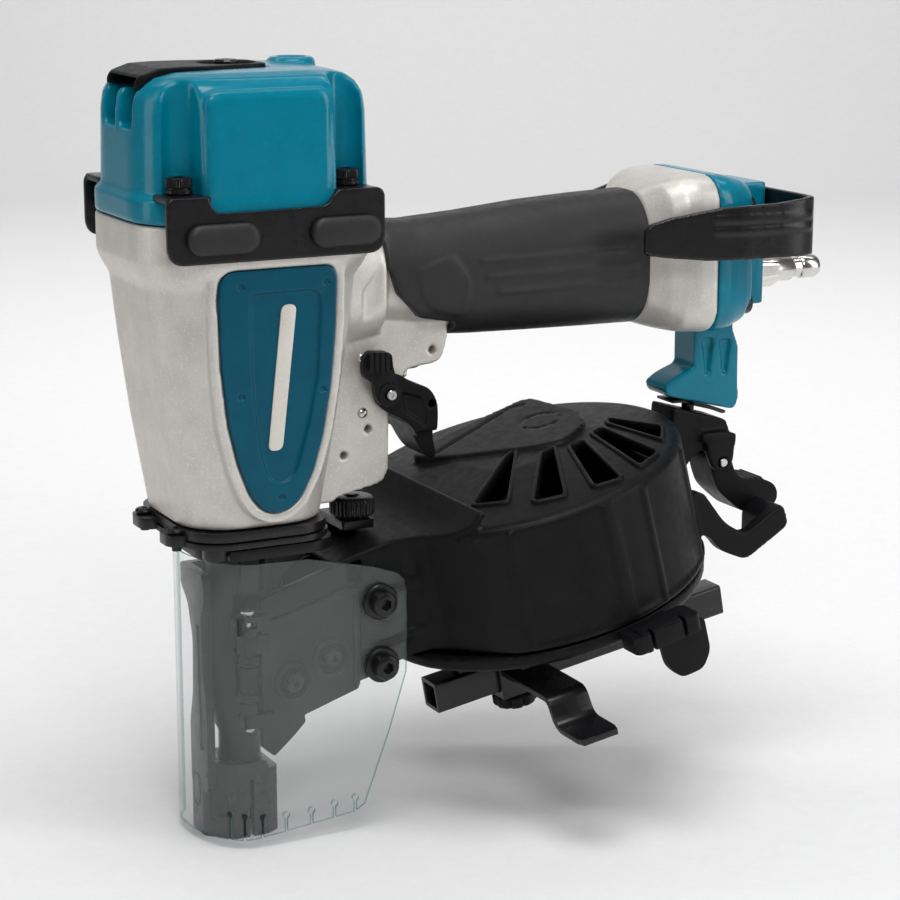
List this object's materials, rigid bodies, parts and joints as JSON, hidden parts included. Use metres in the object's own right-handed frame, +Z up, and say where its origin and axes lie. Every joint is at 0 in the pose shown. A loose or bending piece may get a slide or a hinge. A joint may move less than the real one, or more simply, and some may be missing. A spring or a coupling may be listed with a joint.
{
  "type": "coil roofing nailer",
  "caption": "Pneumatic coil roofing nailer with a tilted side-opening coil magazine, clear nose shield, shingle guide and belt hook.",
  "frame": {"origin": "bottom centre of the whole tool's box: level with the contact foot's sole, 96.2 mm behind the drive axis and 8.72 mm to its near side", "axes": "+X runs back along the handle towards the air plug, +Z up the drive axis towards the cap, -Y is the side the magazine door opens towards"},
  "size_m": [0.2716, 0.1346, 0.2623],
  "materials": {
    "teal_paint": "glossy teal enamel on cast metal",
    "badge_teal": "darker teal moulding, satin",
    "silver_cast": "cast housing, silver paint with a fine orange-peel grain",
    "black_steel": "black satin coating on steel",
    "black_cast": "black coating on a cast part",
    "black_plastic": "black moulded plastic, satin",
    "grip_rubber": "soft black rubber, matt",
    "bright_steel": "bare machined steel",
    "nickel_plate": "nickel plated",
    "bumper_rubber": "dense rubber, matt",
    "clear_shield": "clear flexible plastic sheet"
  },
  "bodies": {
    "tool_body": {"housing": "silver_cast", "cylinder_cap": "teal_paint", "exhaust_cover": "black_plastic", "exhaust_cover_screw": "black_steel", "cap_bolt_1": "black_steel", "cap_bolt_2": "black_steel", "cap_bolt_3": "black_steel", "cap_bolt_4": "black_steel", "side_bracket_near": "black_steel", "side_bracket_far": "black_steel", "bracket_pad_near_front": "grip_rubber", "bracket_pad_near_rear": "grip_rubber", "bracket_pad_far_front": "grip_rubber", "bracket_pad_far_rear": "grip_rubber", "badge_near": "badge_teal", "badge_far": "badge_teal", "grip_sleeve": "grip_rubber", "end_cap": "teal_paint", "end_cap_bolt_1": "black_steel", "end_cap_bolt_2": "black_steel", "end_cap_bolt_3": "black_steel", "end_cap_bolt_4": "black_steel", "air_plug": "nickel_plate", "hook": "black_steel", "nose_flange": "black_steel", "nose_body": "black_cast", "nose_bolt_1": "black_steel", "nose_bolt_2": "black_steel", "cylinder_sleeve": "bright_steel", "piston_bumper": "bumper_rubber", "valve_cage": "black_plastic", "trigger_pin": "bright_steel", "door_hinge_pin": "bright_steel", "magazine_base": "black_plastic", "shingle_rail": "black_steel", "floor_clip": "black_plastic", "lug_clip": "bright_steel", "lug_bolt": "black_steel", "latch_pin": "bright_steel"},
    "driver": {"piston": "bright_steel", "driver_blade": "bright_steel"},
    "head_valve_ring": {"head_valve": "black_plastic"},
    "trigger_lever": {"trigger": "black_plastic"},
    "stem": {"valve_stem": "bright_steel"},
    "mode_selector": {"mode_lever": "black_plastic"},
    "contact_element": {"contact_arm": "black_steel"},
    "dial": {"depth_dial": "black_steel"},
    "door": {"magazine_cover": "black_plastic", "nose_door": "black_cast", "shield": "clear_shield", "shield_bolt_1": "black_steel", "shield_bolt_2": "black_steel", "door_screw_front": "black_steel", "door_screw_rear": "black_steel"},
    "latch": {"latch_lever": "black_plastic"},
    "guide": {"shingle_guide": "black_steel"},
    "guide_knob": {"guide_thumb_screw": "black_plastic"},
    "coil_platform": {"nail_platform": "black_plastic"},
    "feeder": {"feed_piston": "bright_steel"}
  },
  "joints": [
    {"name": "driver_stroke", "type": "slide", "parent": "tool_body", "child": "driver", "axis": [0, 0, -1], "range_m": [0, 0.062]},
    {"name": "head_valve_lift", "type": "slide", "parent": "tool_body", "child": "head_valve_ring", "axis": [0, 0, 1], "range_m": [0, 0.003], "stiffness_N_per_m": 200, "springref_m": -0.004},
    {"name": "trigger_pull", "type": "hinge", "parent": "tool_body", "child": "trigger_lever", "pos_m": [-0.0456, 0.00872, 0.1503], "axis": [0, -1, 0], "range_deg": [0, 12], "stiffness_Nm_per_rad": 0.3, "springref_deg": -17.19},
    {"name": "valve_stem_lift", "type": "slide", "parent": "tool_body", "child": "stem", "axis": [0, 0, 1], "range_m": [0, 0.0024]},
    {"name": "mode_select", "type": "hinge", "parent": "tool_body", "child": "mode_selector", "pos_m": [-0.0456, 0.00872, 0.1503], "axis": [0, -1, 0], "range_deg": [0, 110]},
    {"name": "contact_arm_slide", "type": "slide", "parent": "tool_body", "child": "contact_element", "axis": [0, 0, 1], "range_m": [0, 0.008], "stiffness_N_per_m": 800, "springref_m": -0.006},
    {"name": "depth_dial_turn", "type": "hinge", "parent": "contact_element", "child": "dial", "pos_m": [-0.0532, 0.00872, 0.106], "axis": [0, 0, 1], "continuous": true},
    {"name": "door_swing", "type": "hinge", "parent": "tool_body", "child": "door", "pos_m": [-0.0987, -0.00728, 0.042], "axis": [0, 0, -1], "range_deg": [0, 110], "deforming": ["shield"]},
    {"name": "latch_flip", "type": "hinge", "parent": "tool_body", "child": "latch", "pos_m": [0.0908, 0.00872, 0.1115], "axis": [0, -1, 0], "range_deg": [0, 30], "stiffness_Nm_per_rad": 0.2, "springref_deg": -17.19},
    {"name": "shingle_guide_slide", "type": "slide", "parent": "tool_body", "child": "guide", "axis": [0.9848, 0, 0.1736], "range_m": [-0.01, 0.045]},
    {"name": "guide_screw_turn", "type": "hinge", "parent": "guide", "child": "guide_knob", "pos_m": [0.00267, -0.00528, 0.03968], "axis": [-0.1736, 0, 0.9848], "continuous": true},
    {"name": "nail_platform_slide", "type": "slide", "parent": "tool_body", "child": "coil_platform", "axis": [-0.2419, 0, 0.9703], "range_m": [0, 0.014]},
    {"name": "feed_piston_slide", "type": "slide", "parent": "tool_body", "child": "feeder", "axis": [1, 0, 0], "range_m": [0, 0.012]}
  ],
  "couplings": [
    {"joint": "valve_stem_lift", "follows": "trigger_pull", "m_per_rad": 0.01146}
  ]
}
